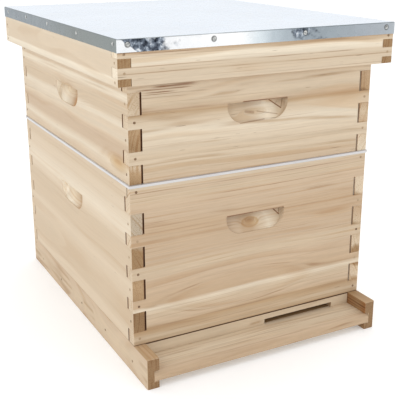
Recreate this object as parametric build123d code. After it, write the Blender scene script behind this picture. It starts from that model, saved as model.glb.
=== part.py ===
from build123d import *
import os

# A ten-frame Langstroth beehive: bottom board, brood box, queen excluder, honey super,
# inner cover and telescoping outer cover. Millimetres, +Z up, entrance towards -Y.
# The origin is under the middle of the hive, on the surface that it stands on.

# Boxes
hive_width = 413.0
hive_length = 505.0
board = 19.0
brood_height = 244.0
super_height = 168.0

# Box joints, counted down from the top edge of a box
top_finger = 38.8
side_finger = 31.75
end_finger = 19.05
joint_gap = 1.6

# Ledge that the frames hang on, cut in the end boards
ledge_depth = 16.0
ledge_lip = 10.0

# Handholds
handhold_width = 103.0
handhold_height = 30.0
handhold_drop = 68.0
handhold_radius = 26.0
handhold_top_depth = 13.0
handhold_low_depth = 1.5

# Bottom board
rail_height = 48.0
landing = 47.0
floor_thickness = 18.0
floor_height = 10.5
floor_boards = 4
groove_depth = 8.0
nose_radius = 10.0
nose_under_radius = 2.0
rail_round = 3.0

# Entrance reducer
reducer_height = 19.0
reducer_play = 0.5
entrance_width = 132.0
entrance_height = 9.0
entrance_centre = 87.0
small_entrance_width = 20.0
small_entrance_height = 9.0

# Queen excluder
excluder_height = 4.5
excluder_proud = 1.5
excluder_rim = 14.0
excluder_grid = 2.0
slot_width = 4.2
slot_pitch = 8.4
slot_rows = 4
slot_bridge = 8.0

# Inner cover
inner_height = 22.0
inner_panel = 6.0
inner_groove = 7.0
bee_hole_length = 95.0
bee_hole_width = 30.0
vent_width = 25.0
vent_height = 7.0
rail_nail_shares = (0.2, 0.8)

# Outer cover
rim_height = 48.0
rim_clearance = 2.4
cover_panel = 14.0
sheet = 0.6
flange_height = 18.1
rim_joint_gap = 0.4
rim_rows = (("side", 10.5), ("end", 14.0), ("side", 12.5), ("end", 11.0))

# Hanging frames
frames_per_box = 10
frame_pitch = 35.0
top_bar_length = 482.0
top_bar_width = 27.0
top_bar_height = 19.0
top_bar_neck = 22.0
lug_height = 10.0
frame_length = 451.0
end_bar = 9.5
end_bar_width = 34.6
end_bar_waist = 28.0
end_bar_shoulder = 0.42
end_bar_taper = 14.0
bottom_bar_width = 19.0
bottom_bar_height = 9.5
foundation = 3.0
brood_frame_height = 232.0
super_frame_height = 159.0

# Nails
shank_radius = 1.2
head_radius = 1.9
head_height = 0.8
head_proud = 0.2
corner_nail_length = 42.0
top_nail_drop = 6.5
sheet_nail_radius = 3.2
sheet_nail_proud = 0.6
sheet_nail_length = 20.0
end_flange_nails = (-213.0, -86.5, 63.5, 213.0)
side_flange_nails = (-249.0, -110.0, 28.0, 146.0, 262.0)
floor_nails_per_rail = 5

# Heights of the stack, from the ground up
brood_base = rail_height
brood_top = brood_base + brood_height
super_base = brood_top + excluder_height
super_top = super_base + super_height
inner_top = super_top + inner_height
panel_top = inner_top + cover_panel
floor_top = floor_height + floor_thickness

# Faces of the boxes, in plan
depth_overall = landing + hive_length + rim_clearance + board + sheet + sheet_nail_proud
left = -hive_width / 2
right = hive_width / 2
front = landing - depth_overall / 2
back = front + hive_length
rail_front = front - landing
middle = (front + back) / 2
slot_depth = board + joint_gap
overhang = rim_clearance + board


def block(x, y, z):
    """Rectangular solid between the low and high values of each axis."""
    size = [high - low for low, high in (x, y, z)]
    centre = [(low + high) / 2 for low, high in (x, y, z)]
    return Pos(*centre) * Box(*size)


def other_end(shape):
    """The same shape at the back of the box."""
    return mirror(shape, about=Plane.XZ.offset(-middle))


def other_side(shape):
    """The same shape on the right of the hive."""
    return mirror(shape, about=Plane.YZ)


def write(name, *solids):
    """Save one sub-part; several solids go into one file without being fused."""
    shape = solids[0] if len(solids) == 1 else Compound(children=list(solids))
    export_step(shape, f"parts/{name}.step")


def nail(at, towards, length=corner_nail_length, radius=head_radius, proud=head_proud):
    """Nail driven along a direction, its flat head just proud of the surface at a point."""
    head = Pos(0, 0, -proud) * Cylinder(radius, head_height, align=(Align.CENTER, Align.CENTER, Align.MIN))
    shank = Cylinder(shank_radius, length, align=(Align.CENTER, Align.CENTER, Align.MIN))
    return Plane(origin=at, z_dir=towards) * (head + shank)


# Box joints and walls


def box_rows(height):
    """Rows of fingers from the top of a box down: low, high, and the boards that own them.

    The lowest row takes in what is left when that is too thin for a finger of its own.
    """
    rows = []
    high = height
    owner = "end"
    size = top_finger
    while high > 0:
        low = high - size
        if low < end_finger / 2:
            low = 0.0
        rows.append((low, high, owner))
        owner = "side" if owner == "end" else "end"
        size = side_finger if owner == "side" else end_finger
        high = low
    return rows


def handhold():
    """Cutter for a D-shaped finger recess: its mouth on the plane Y = 0, its flat top at Z = 0."""
    outline = Rectangle(handhold_width, handhold_height, align=(Align.CENTER, Align.MAX))
    low_corners = outline.vertices().sort_by(Axis.Y)[:2]
    outline = fillet(low_corners, handhold_radius)
    prism = extrude(Plane.XZ * outline, amount=board, both=True)
    profile = Polygon(
        (-board, 0),
        (handhold_top_depth, 0),
        (handhold_low_depth, -handhold_height),
        (-board, -handhold_height),
        align=None,
    )
    return prism & extrude(Plane.YZ * profile, amount=handhold_width, both=True)


def end_board(base, height):
    """Front board of a box, with its fingers, frame ledge and handhold."""
    top = base + height
    shape = block((left, right), (front, front + board), (base, top))
    for low, high, owner in box_rows(height):
        if owner == "side":
            notch = block((left, left + slot_depth), (front, front + board), (base + low, base + high))
            shape = shape - notch - other_side(notch)
    shape -= block((left, right), (front + ledge_lip, front + board), (top - ledge_depth, top))
    shape -= Pos(0, front, top - handhold_drop) * handhold()
    return shape


def side_board(base, height):
    """Left board of a box. Above the ledge it reaches forward to close the corner."""
    top = base + height
    shape = block((left, left + board), (front, back), (base, top))
    for low, high, owner in box_rows(height):
        if owner == "end":
            level = min(base + high, top - ledge_depth)
            notch = block((left, left + board), (front, front + slot_depth), (base + low, level))
            shape = shape - notch - other_end(notch)
    lip = ledge_lip + joint_gap
    notch = block((left, left + board), (front, front + lip), (top - ledge_depth, top))
    shape = shape - notch - other_end(notch)
    shape -= Pos(left, middle, top - handhold_drop) * Rot(0, 0, -90) * handhold()
    return shape


def four_corners(shape):
    """A shape at the front left corner and its three mirror images."""
    pair = [shape, other_end(shape)]
    return pair + [other_side(s) for s in pair]


def corner_nails(base, height):
    """One nail through every finger of a box."""
    nails = []
    for low, high, owner in box_rows(height):
        level = base + (low + high) / 2
        if high == height:
            level = base + high - top_nail_drop
        if owner == "end":
            nails += four_corners(nail((left + board / 2, front, level), (0, 1, 0)))
        else:
            nails += four_corners(nail((left, front + board / 2, level), (1, 0, 0)))
    return nails


def write_box(name, base, height):
    end = end_board(base, height)
    side = side_board(base, height)
    write(f"{name}_front_board", end)
    write(f"{name}_back_board", other_end(end))
    write(f"{name}_left_board", side)
    write(f"{name}_right_board", other_side(side))
    write(f"{name}_nails", *corner_nails(base, height))


# Bottom board


def bottom_rail():
    """Left rail, grooved for the floor, with its front end eased."""
    rail = block((left, left + board), (rail_front, back), (0, rail_height))
    front_face = rail.faces().sort_by(Axis.Y)[0]
    outer_edge = front_face.edges().sort_by(Axis.X)[0]
    top_edge = front_face.edges().sort_by(Axis.Z)[-1]
    rail = fillet([outer_edge, top_edge], rail_round)
    groove_start = left + board - groove_depth
    groove = block((groove_start, left + board), (rail_front, back), (floor_height, floor_top))
    return rail - groove


def floor_board(number):
    """One of the boards that lie across the floor, the first under the landing."""
    width = (back - rail_front) / floor_boards
    low = rail_front + (number - 1) * width
    edge = left + board - groove_depth
    shape = block((edge, -edge), (low, low + width), (floor_height, floor_top))
    if number == 1:
        nose = shape.faces().sort_by(Axis.Y)[0].edges().sort_by(Axis.Z)
        shape = fillet(nose[-1], nose_radius)
        under = shape.faces().sort_by(Axis.Y)[0].edges().sort_by(Axis.Z)
        shape = fillet(under[0], nose_under_radius)
    return shape


def write_bottom():
    for number in range(1, floor_boards + 1):
        write(f"floor_board_{number}", floor_board(number))
    rail = bottom_rail()
    write("bottom_left_rail", rail)
    write("bottom_right_rail", other_side(rail))
    inner = left + board
    cleat = block((inner, -inner), (back - board, back), (floor_top, rail_height))
    write("bottom_back_cleat", cleat)
    nails = []
    spacing = (back - rail_front) / floor_nails_per_rail
    for i in range(floor_nails_per_rail):
        y = rail_front + spacing / 2 + i * spacing
        level = floor_height + floor_thickness / 2
        nails.append(nail((left, y, level), (1, 0, 0)))
    cleat_level = (floor_top + rail_height) / 2
    nails.append(nail((left, back - board / 2, cleat_level), (1, 0, 0)))
    write("bottom_nails", *nails, *[other_side(n) for n in nails])


def write_reducer():
    """Strip that narrows the entrance, a wide notch at its foot and a small one on its back."""
    end = left + board + reducer_play
    top = floor_top + reducer_height
    shape = block((end, -end), (front, front + reducer_height), (floor_top, top))
    low_x = entrance_centre - entrance_width / 2
    high_x = entrance_centre + entrance_width / 2
    through = (front, front + reducer_height)
    shape -= block((low_x, high_x), through, (floor_top, floor_top + entrance_height))
    low_x = -entrance_centre - small_entrance_width / 2
    high_x = -entrance_centre + small_entrance_width / 2
    low_y = front + reducer_height - small_entrance_height
    shape -= block((low_x, high_x), (low_y, front + reducer_height), (floor_top, top))
    write("entrance_reducer", shape)


def write_excluder():
    """Moulded excluder: a raised rim round a thin grid of slots that only workers pass."""
    x_edge = right + excluder_proud
    low_y = front - excluder_proud
    high_y = back + excluder_proud
    outer = block((-x_edge, x_edge), (low_y, high_y), (brood_top, super_base))
    x_in = x_edge - excluder_rim
    y_in = (low_y + excluder_rim, high_y - excluder_rim)
    rim = outer - block((-x_in, x_in), y_in, (brood_top, super_base))
    level = (brood_top + super_base) / 2
    grid_z = (level - excluder_grid / 2, level + excluder_grid / 2)
    row = (y_in[1] - y_in[0]) / slot_rows
    columns = int(2 * x_in / slot_pitch) - 1
    slots = GridLocations(slot_pitch, row, columns, slot_rows)
    grid = Rectangle(2 * x_in, y_in[1] - y_in[0]) - slots * Rectangle(slot_width, row - slot_bridge)
    plate = extrude(Pos(0, middle, grid_z[0]) * grid, amount=excluder_grid)
    write("queen_excluder", rim + plate)


# Inner cover


def write_inner_cover():
    inner = left + board
    z = (super_top, inner_top)
    level = (super_top + inner_top) / 2
    panel_z = (level - inner_panel / 2, level + inner_panel / 2)
    groove = inner - inner_groove
    y_in = (front + board - inner_groove, back - board + inner_groove)
    panel = block((groove, -groove), y_in, panel_z)
    hole = SlotOverall(bee_hole_length, bee_hole_width, rotation=90)
    panel -= extrude(Pos(0, middle, panel_z[0]) * hole, amount=inner_panel)
    side = block((left, inner), (front, back), z) - block((groove, inner), y_in, panel_z)
    end = block((inner, -inner), (front, front + board), z)
    end -= block((inner, -inner), (y_in[0], front + board), panel_z)
    vent_z = (inner_top - vent_height, inner_top)
    vent = block((-vent_width / 2, vent_width / 2), (front, front + board), vent_z)
    write("inner_cover_panel", panel)
    write("inner_cover_left_rail", side)
    write("inner_cover_right_rail", other_side(side))
    write("inner_cover_front_rail", end - vent)
    write("inner_cover_back_rail", other_end(end))
    nails = []
    for share in rail_nail_shares:
        level = super_top + inner_height * share
        nails += four_corners(nail((left, front + board / 2, level), (1, 0, 0)))
    write("inner_cover_nails", *nails)


# Outer cover


def rim_levels():
    """Rows of fingers in the rim of the cover, from the bottom: low, high, owner."""
    low = inner_top - rim_height
    rows = []
    for owner, size in rim_rows:
        rows.append((low, low + size, owner))
        low += size
    return rows


def write_outer_cover():
    x_out = left - overhang
    x_in = x_out + board
    y_out = front - overhang
    y_in = y_out + board
    y_far = back + overhang
    z = (inner_top - rim_height, inner_top)
    end = block((x_out, -x_out), (y_out, y_in), z)
    side = block((x_out, x_in), (y_out, y_far), z)
    nails = []
    for low, high, owner in rim_levels():
        level = (low + high) / 2
        if owner == "side":
            notch = block((x_out, x_in + rim_joint_gap), (y_out, y_in), (low, high))
            end = end - notch - other_side(notch)
            nails += four_corners(nail((x_out, y_out + board / 2, level), (1, 0, 0)))
        else:
            notch = block((x_out, x_in), (y_out, y_in + rim_joint_gap), (low, high))
            side = side - notch - other_end(notch)
            nails += four_corners(nail((x_out + board / 2, y_out, level), (0, 1, 0)))
    write("cover_front_rim", end)
    write("cover_back_rim", other_end(end))
    write("cover_left_rim", side)
    write("cover_right_rim", other_side(side))
    write("cover_rim_nails", *nails)
    write("cover_panel", block((x_out, -x_out), (y_out, y_far), (inner_top, panel_top)))

    x_skin = x_out - sheet
    y_skin = (y_out - sheet, y_far + sheet)
    top = panel_top + sheet
    tray = block((x_skin, -x_skin), y_skin, (top - flange_height, top))
    tray -= block((x_out, -x_out), (y_out, y_far), (top - flange_height, panel_top))
    write("cover_sheet", tray)

    level = (inner_top + panel_top) / 2
    style = dict(length=sheet_nail_length, radius=sheet_nail_radius, proud=sheet_nail_proud)
    heads = []
    for x in end_flange_nails:
        heads.append(nail((x, y_skin[0], level), (0, 1, 0), **style))
        heads.append(nail((x, y_skin[1], level), (0, -1, 0), **style))
    for y in side_flange_nails:
        heads.append(nail((x_skin, y, level), (1, 0, 0), **style))
        heads.append(nail((-x_skin, y, level), (-1, 0, 0), **style))
    write("cover_sheet_nails", *heads)


# Hanging frames


def frame_end_bar(x, y, top, height):
    """Self-spacing end bar: wide shoulders above a narrower foot, notched for both bars."""
    low = top - height
    shoulder = top - height * end_bar_shoulder
    half = end_bar_width / 2
    waist = end_bar_waist / 2
    outline = Polygon(
        (x - half, top),
        (x - half, shoulder),
        (x - waist, shoulder - end_bar_taper),
        (x - waist, low),
        (x + waist, low),
        (x + waist, shoulder - end_bar_taper),
        (x + half, shoulder),
        (x + half, top),
        align=None,
    )
    bar = extrude(Plane.XZ.offset(-y) * outline, amount=-end_bar)
    through = (y, y + end_bar)
    neck = top_bar_neck / 2
    foot = bottom_bar_width / 2
    bar -= block((x - neck, x + neck), through, (top - top_bar_height, top))
    bar -= block((x - foot, x + foot), through, (low, low + bottom_bar_height))
    return bar


def hanging_frame(x, top, height):
    """Top bar, two end bars, bottom bar and a sheet of foundation, as separate solids."""
    ends = (middle - frame_length / 2, middle + frame_length / 2)
    tips = (middle - top_bar_length / 2, middle + top_bar_length / 2)
    low = top - height
    wide = top_bar_width / 2
    neck = top_bar_neck / 2
    under = top - top_bar_height
    top_bar = block((x - neck, x + neck), tips, (top - lug_height, top))
    top_bar += block((x - neck, x + neck), ends, (under, top))
    top_bar += block((x - wide, x + wide), (ends[0] + end_bar, ends[1] - end_bar), (under, top))
    foot = bottom_bar_width / 2
    bottom_bar = block((x - foot, x + foot), ends, (low, low + bottom_bar_height))
    thin = foundation / 2
    inside = (ends[0] + end_bar, ends[1] - end_bar)
    comb = block((x - thin, x + thin), inside, (low + bottom_bar_height, under))
    near = frame_end_bar(x, ends[0], top, height)
    far = frame_end_bar(x, ends[1] - end_bar, top, height)
    return top_bar, near, far, bottom_bar, comb


def write_frames(name, box_top, height):
    top = box_top - ledge_depth + lug_height
    for number in range(1, frames_per_box + 1):
        x = (number - (frames_per_box + 1) / 2) * frame_pitch
        write(f"{name}_frame_{number}", *hanging_frame(x, top, height))


os.makedirs("parts", exist_ok=True)
write_bottom()
write_reducer()
write_box("brood", brood_base, brood_height)
write_excluder()
write_box("super", super_base, super_height)
write_inner_cover()
write_outer_cover()
write_frames("brood", brood_top, brood_frame_height)
write_frames("super", super_top, super_frame_height)
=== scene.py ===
"""Looks of a ten-frame beehive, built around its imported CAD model.

Everything is in metres in the CAD model's own frame: X to the right, the entrance towards -Y
and Z up. Wood is cut out of a solid procedural pattern, so that its lines run round every edge.
"""

import math
import random
from functools import partial, reduce
from types import SimpleNamespace

import bmesh
import bpy
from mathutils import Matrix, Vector, noise


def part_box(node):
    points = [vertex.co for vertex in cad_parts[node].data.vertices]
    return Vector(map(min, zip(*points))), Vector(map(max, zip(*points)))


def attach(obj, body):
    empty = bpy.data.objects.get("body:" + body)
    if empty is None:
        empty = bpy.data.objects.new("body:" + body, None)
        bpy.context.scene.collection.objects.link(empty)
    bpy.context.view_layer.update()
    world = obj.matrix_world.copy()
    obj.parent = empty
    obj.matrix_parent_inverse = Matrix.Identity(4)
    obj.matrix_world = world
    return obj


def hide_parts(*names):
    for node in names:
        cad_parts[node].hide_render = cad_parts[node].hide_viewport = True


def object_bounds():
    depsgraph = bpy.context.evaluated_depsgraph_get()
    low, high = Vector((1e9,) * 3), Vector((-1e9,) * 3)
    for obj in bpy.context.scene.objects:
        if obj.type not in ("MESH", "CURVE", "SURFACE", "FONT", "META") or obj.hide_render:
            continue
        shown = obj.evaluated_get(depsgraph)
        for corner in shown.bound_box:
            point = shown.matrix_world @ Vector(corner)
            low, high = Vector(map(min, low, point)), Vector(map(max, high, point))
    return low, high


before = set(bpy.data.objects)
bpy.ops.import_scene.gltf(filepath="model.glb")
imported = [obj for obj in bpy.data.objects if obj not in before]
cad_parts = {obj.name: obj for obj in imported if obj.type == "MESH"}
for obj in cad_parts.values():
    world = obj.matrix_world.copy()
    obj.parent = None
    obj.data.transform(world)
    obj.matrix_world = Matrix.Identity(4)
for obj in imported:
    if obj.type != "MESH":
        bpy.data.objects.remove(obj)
cad_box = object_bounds()

MM = 0.001
AXES = "XYZ"


# Colours


def srgb(red, green, blue):
    """Linear RGBA of a colour given by its screen values, 0 to 255."""

    def linear(value):
        value /= 255
        return value / 12.92 if value <= 0.04045 else ((value + 0.055) / 1.055) ** 2.4

    return (linear(red), linear(green), linear(blue), 1.0)


TONES = {
    "chalk": (240, 229, 210),
    "cream": (229, 216, 194),
    "pale": (219, 204, 181),
    "straw": (210, 191, 165),
    "sand": (202, 181, 153),
    "rose": (197, 173, 145),
    "tan": (189, 162, 131),
    "honey": (180, 150, 114),
    "umber": (158, 127, 90),
    "amber": (176, 128, 74),
    "ash": (186, 170, 148),
    "nut": (142, 112, 78),
    "rust": (148, 102, 58),
    # Painted shadow, for the lines where one part meets the next.
    "crevice": (92, 64, 42),
}
LATEWOOD = srgb(232, 214, 192)
PENCIL_BROWN = srgb(206, 182, 152)
# Dark lines of the wood, and painted shadow and shade lines.
LINE_AND_SHADOW_BROWN = srgb(156, 112, 70)
KNOT_BROWN = srgb(232, 206, 158)
CHECK_BROWN = srgb(112, 82, 56)
END_SHADE = srgb(226, 206, 180)
PORE_SHADE = srgb(196, 172, 140)
JOINT_SHADE = srgb(120, 88, 62)
# Painted shadow in the joints' gaps, on the sawn ends beside a board's inner face.
GAP_SHADOW_BROWN = srgb(140, 100, 64)


# Node trees


class Tree:
    """A shader node tree, written as formulas."""

    def __init__(self, tree):
        self.tree = tree
        tree.nodes.clear()

    def node(self, kind, inputs=None, **settings):
        made = self.tree.nodes.new(kind)
        for name, value in settings.items():
            setattr(made, name, value)
        for socket, value in (inputs or {}).items():
            self.feed(made.inputs[socket], value)
        return made

    def feed(self, socket, value):
        if isinstance(value, bpy.types.NodeSocket):
            self.tree.links.new(value, socket)
        else:
            socket.default_value = value

    def filled(self, kind, *values, **settings):
        """A node with values for its first sockets."""
        made = self.node(kind, **settings)
        for socket, value in zip(made.inputs, values):
            self.feed(socket, value)
        return made.outputs

    def math(self, operation, *values):
        return self.filled("ShaderNodeMath", *values, operation=operation)[0]

    def total(self, *values):
        return reduce(partial(self.math, "ADD"), values)

    def product(self, *values):
        return reduce(partial(self.math, "MULTIPLY"), values)

    def apart(self, first, second):
        return self.math("ABSOLUTE", self.math("SUBTRACT", first, second))

    def swing(self, value, reach):
        """A value of 0 to 1 as a swing of up to half the reach either way."""
        return self.math("MULTIPLY_ADD", value, reach, -reach / 2)

    def step(self, value, low, high):
        """0 below low, 1 above high and smooth between them; low may be the larger one."""
        inputs = (value, low, high)
        return self.filled("ShaderNodeMapRange", *inputs, interpolation_type="SMOOTHSTEP")[0]

    def share(self, value, low, high):
        """How far a value has come from low, 0, to high, 1."""
        return self.math("MULTIPLY_ADD", value, 1 / (high - low), -low / (high - low))

    def parts(self, vector):
        return self.filled("ShaderNodeSeparateXYZ", vector)

    def noise(self, place, scale, detail=2.0, roughness=0.5, output="Fac"):
        """Noise at a point of space, about 0.5 on average."""
        inputs = {"Vector": place, "Scale": scale, "Detail": detail, "Roughness": roughness}
        return self.node("ShaderNodeTexNoise", inputs).outputs[output]

    def line_noise(self, value, scale, detail=1.0):
        """Noise along one value."""
        inputs = {"W": value, "Scale": scale, "Detail": detail}
        return self.node("ShaderNodeTexNoise", inputs, noise_dimensions="1D").outputs[0]

    def mix(self, factor, first, second, blend="MIX"):
        made = self.node("ShaderNodeMix", data_type="RGBA", blend_type=blend)
        for index, value in ((0, factor), (6, first), (7, second)):
            self.feed(made.inputs[index], value)
        return made.outputs[2]

    def darken(self, colour, factor, shade):
        return self.mix(factor, colour, shade, "MULTIPLY")

    def ramp(self, factor, stops):
        """A colour for each value of 0 to 1, from (value, red, green, blue) stops."""
        made = self.node("ShaderNodeValToRGB", {"Fac": factor})
        elements = made.color_ramp.elements
        while len(elements) < len(stops):
            elements.new(1.0)
        for element, (value, *screen) in zip(elements, stops):
            element.position = value
            element.color = srgb(*screen)
        return made.outputs[0]

    def brightness(self, colour, value):
        return self.node("ShaderNodeHueSaturation", {"Color": colour, "Value": value}).outputs[0]

    def bump(self, height, distance, strength=1.0):
        inputs = {"Height": height, "Distance": distance, "Strength": strength}
        return self.node("ShaderNodeBump", inputs).outputs[0]

    def surface(self, colour, roughness, normal, **settings):
        """Ends the tree in a Principled shader."""
        inputs = {"Base Color": colour, "Roughness": roughness, "Normal": normal, **settings}
        shader = self.node("ShaderNodeBsdfPrincipled", inputs)
        self.node("ShaderNodeOutputMaterial", {"Surface": shader.outputs[0]})


def new_material(name):
    """A material, its tree, and each point's place and direction."""
    material = bpy.data.materials.new(name)
    material.use_nodes = True
    tree = Tree(material.node_tree)
    source = tree.node("ShaderNodeTexCoord").outputs
    return material, tree, source["Object"], tree.parts(source["Normal"])


# Wood

FIGURE_SOCKETS = {
    "INPUT": "Along Across Through Ring_Across Ring_Depth Wander Push Seed",
    "OUTPUT": "Lines Pencil Broad Fine Streak Fibre Drift Checks",
}


def wood_figure():
    """Node group: the lines that growth draws on a board, at a place in the board's own axes."""
    group = bpy.data.node_groups.new("wood_figure", "ShaderNodeTree")
    for in_out, names in FIGURE_SOCKETS.items():
        for name in names.split():
            group.interface.new_socket(name=name, in_out=in_out, socket_type="NodeSocketFloat")
    tree = Tree(group)
    given = tree.node("NodeGroupInput").outputs
    along = tree.math("ADD", given["Along"], given["Seed"])
    across, through = given["Across"], given["Through"]

    def grain(length, width, detail, output="Fac"):
        """Noise of this length and width."""
        reaches = ((along, length), (across, width), (through, width))
        place = [tree.product(value, 1 / reach) for value, reach in reaches]
        place = tree.filled("ShaderNodeCombineXYZ", *place)[0]
        return tree.noise(place, 1.0, detail, output=output)

    drift = tree.parts(grain(0.42, 0.26, 1.5, "Color"))
    side = tree.math("SUBTRACT", across, given["Ring_Across"])
    side = tree.total(side, tree.product(tree.swing(drift[0], 1.0), given["Wander"]))
    depth = tree.math("SUBTRACT", through, given["Ring_Depth"])
    depth = tree.total(depth, tree.product(tree.swing(drift[1], 1.0), given["Wander"]))
    squares = tree.total(tree.product(side, side), tree.product(depth, depth))
    ripple = grain(0.13, 0.03, 1.0)
    ring = tree.total(tree.math("SQRT", squares), tree.swing(ripple, 0.0014), given["Push"])

    rings = tree.line_noise(ring, 260.0, 1.5)
    strength = tree.step(grain(0.16, 0.03, 1.0), 0.3, 0.7)
    edge = tree.apart(tree.line_noise(ring, 110.0, 0.5), 0.5)
    pressed = tree.step(grain(0.11, 0.008, 1.0), 0.42, 0.75)
    results = {
        "Lines": tree.product(tree.step(rings, 0.52, 0.62), strength),
        "Pencil": tree.product(tree.step(edge, 0.03, 0.008), pressed),
        "Broad": tree.line_noise(ring, 38.0, 1.0),
        "Fine": tree.line_noise(ring, 620.0, 1.0),
        "Streak": grain(0.09, 0.003, 2.0),
        "Fibre": grain(0.02, 0.0009, 2.0),
        "Drift": drift[2],
        "Checks": grain(0.03, 0.0012, 0.0),
    }
    tree.node("NodeGroupOutput", results)
    return group


FIGURE = wood_figure()
SEAM_EASE = 12 * MM


def knot_fields(tree, along, across, knots):
    """How far the knots push the rings, and how much of each point is knot."""
    push, core = 0.0, 0.0
    for at_along, at_across, length, width, lift, dark, rim in knots:
        far = tree.share(along, at_along, at_along + length)
        wide = tree.share(across, at_across, at_across + width)
        distance = tree.total(tree.product(far, far), tree.product(wide, wide))
        bulge = tree.math("EXPONENT", tree.product(distance, -1.0))
        push = tree.total(push, tree.product(bulge, lift))
        core = tree.total(core, tree.product(tree.step(distance, 1.1, 0.0), dark))
        if rim:
            off_rim = tree.apart(distance, 0.85)
            core = tree.total(core, tree.product(tree.step(off_rim, 0.4, 0.1), rim))
    return push, core


def seam_and_shadow_field(tree, share, along, width, seams):
    """How much of each point lies on one of the lines of a board's table: its own dark lines, and
    on the front rim a painted shadow line.
    """
    field = 0.0
    for seam in seams.split(","):
        percent, thick, strength, first, last = [float(number) for number in seam.split()]
        apart = tree.apart(share, percent / 100)
        line = tree.step(apart, 0.75 * thick * MM / width, 0.2 * thick * MM / width)
        begun = tree.step(along, first * MM - SEAM_EASE, first * MM + SEAM_EASE)
        unended = tree.step(along, last * MM + SEAM_EASE, last * MM - SEAM_EASE)
        field = tree.math("MAXIMUM", field, tree.product(line, begun, unended, strength))
    return field


def scratch_and_shade_field(tree, along, across, scratches):
    """How much of each point lies on one of the straight dark lines: marks, and painted shade
    lines.
    """
    field = 0.0
    for start, end, thick, strength in scratches:
        run, rise = end[0] - start[0], end[1] - start[1]
        length = run * run + rise * rise
        x = tree.math("SUBTRACT", along, start[0])
        y = tree.math("SUBTRACT", across, start[1])
        share = tree.total(tree.product(x, run / length), tree.product(y, rise / length))
        share = tree.math("MINIMUM", tree.math("MAXIMUM", share, 0.0), 1.0)
        x = tree.math("SUBTRACT", x, tree.product(share, run))
        y = tree.math("SUBTRACT", y, tree.product(share, rise))
        away = tree.math("SQRT", tree.total(tree.product(x, x), tree.product(y, y)))
        line = tree.step(away, 0.8 * thick, 0.2 * thick)
        field = tree.math("MAXIMUM", field, tree.product(line, strength))
    return field


def box_mask(tree, place, low, high, soft):
    """1 inside a box of the space and 0 outside it."""
    mask = 1.0
    for value, lowest, highest in zip(place, low, high):
        mask = tree.product(mask, tree.step(value, lowest - soft, lowest + soft))
        mask = tree.product(mask, tree.step(value, highest + soft, highest - soft))
    return mask


def tone_stops(stops):
    """A ramp's stops from a text, "percent tone, percent tone" or one tone for the whole width."""
    if " " not in stops:
        stops = f"0 {stops}, 100 {stops}"
    pairs = [stop.split() for stop in stops.split(",")]
    return [(float(percent) / 100, *TONES[tone]) for percent, tone in pairs]


def board_place(tree, point, box, along, across):
    """A board's axes and size, with each point's place and share of the width."""
    low, high = box
    i, j = AXES.index(along), AXES.index(across)
    place = tree.parts(point)
    share = tree.share(place[j], low[j], high[j])
    k = 3 - i - j
    return SimpleNamespace(
        i=i, j=j, k=k, middle=(low + high) / 2, size=high - low, share=share,
        place=place, along=place[i], across=place[j], through=place[k],
    )


def layers(tree, at, figure, tones, patches):
    """The board's tones from edge to edge with its patches over them, and where patches lie."""
    moved = tree.total(at.share, tree.swing(figure["Drift"], 0.07))
    moved = tree.total(moved, tree.swing(figure["Streak"], 0.03))
    colour = tree.ramp(moved, tone_stops(tones))
    covered = 0.0
    for low, high, stops in patches:
        inside = box_mask(tree, at.place, low, high, 0.2 * MM)
        covered = tree.math("MAXIMUM", covered, inside)
        part = tree.share(at.along, low[at.i], high[at.i])
        part = tree.total(part, tree.swing(figure["Broad"], 0.3))
        colour = tree.mix(inside, colour, tree.ramp(part, tone_stops(stops)))
    return colour, covered


def draw_lines(tree, at, figure, colour, core, drawn, seams):
    """A colour darkened by knots, growth lines and the lines of its table along the grain: the
    board's own, and on the front rim a painted shadow line.
    """
    colour = tree.darken(colour, tree.math("MINIMUM", core, 1.0), KNOT_BROWN)
    lines = tree.product(figure["Lines"], tree.total(0.6 * (FIGURE_FLOOR + drawn), core))
    colour = tree.darken(colour, tree.math("MINIMUM", lines, 1.0), LATEWOOD)
    colour = tree.darken(colour, tree.product(figure["Pencil"], drawn), PENCIL_BROWN)
    if seams:
        ragged = tree.total(at.share, tree.swing(figure["Drift"], 0.04))
        ragged = tree.total(ragged, tree.swing(figure["Streak"], 0.012))
        lines = seam_and_shadow_field(tree, ragged, at.along, at.size[at.j], seams)
        lines = tree.product(lines, tree.step(figure["Streak"], 0.3, 0.65))
        colour = tree.darken(colour, lines, LINE_AND_SHADOW_BROWN)
    return colour


def joint_mask(tree, at):
    """1 at the depth of a joint's inner end grain, which lies behind a dark gap."""
    off_centre = tree.apart(at.along, at.middle[at.i])
    from_end = tree.math("SUBTRACT", at.size[at.i] / 2, off_centre)
    (shallow, deeper), (deep, deepest) = JOINT_DEPTHS
    return tree.product(tree.step(from_end, shallow, deeper), tree.step(from_end, deepest, deep))


def end_grain(tree, at, figure, pores, blotch, ends):
    """Colour of the sawn ends."""
    colour = tree.ramp(tree.total(at.share, tree.swing(figure["Broad"], 0.08)), tone_stops(ends))
    colour = tree.darken(colour, tree.product(figure["Lines"], 0.75), END_SHADE)
    colour = tree.darken(colour, tree.step(pores, 0.5, 0.75), PORE_SHADE)
    value = tree.total(1.02, tree.swing(figure["Broad"], 0.2), tree.swing(blotch, 0.25))
    colour = tree.brightness(colour, value)
    return tree.darken(colour, joint_mask(tree, at), JOINT_SHADE)


# How far each part of the figure swings a face's brightness, at strength 1. A board's strength is
# FIGURE_FLOOR and how much its lines are drawn.
SWINGS = {"Broad": 0.12, "Fine": 0.14, "Streak": 0.17, "Fibre": 0.18}
FIGURE_FLOOR = 0.4
JOINT_DEPTHS = ((3 * MM, 4 * MM), (28 * MM, 30 * MM))
SCRATCH_AND_SHADE_DEPTHS = (4 * MM, 8 * MM)


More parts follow.
